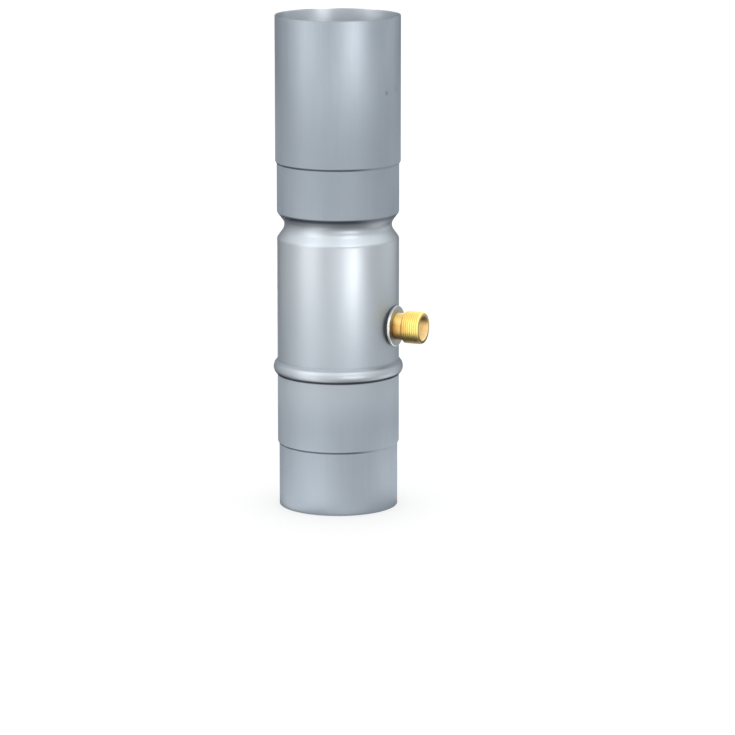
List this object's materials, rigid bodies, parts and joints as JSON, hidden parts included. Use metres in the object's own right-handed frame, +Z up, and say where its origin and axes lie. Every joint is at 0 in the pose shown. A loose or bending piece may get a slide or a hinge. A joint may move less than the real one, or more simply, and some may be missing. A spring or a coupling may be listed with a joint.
{
  "type": "rainwater diverter",
  "caption": "Round downpipe section that collects roof water in an inner ring trough and leads it off through a threaded brass side outlet, with an overflow down the pipe.",
  "frame": {"origin": "centre of the spigot's lower end, on the pipe's axis", "axes": "+Z up along the pipe's axis, +X along the side outlet, +Y to the left of the outlet"},
  "size_m": [0.1293, 0.1066, 0.4055],
  "materials": {
    "zinc_sheet": "satin zinc-coated sheet",
    "outlet_brass": "bright turned brass",
    "collar_metal": "satin turned ring",
    "seal_rubber": "matt black"
  },
  "bodies": {
    "root": {"diverter_body": "zinc_sheet", "collector_insert": "zinc_sheet", "outlet_nipple": "outlet_brass", "outlet_collar": "collar_metal", "outer_saddle_seal": "seal_rubber", "inner_saddle_seal": "seal_rubber", "lock_nut": "outlet_brass"}
  },
  "joints": []
}
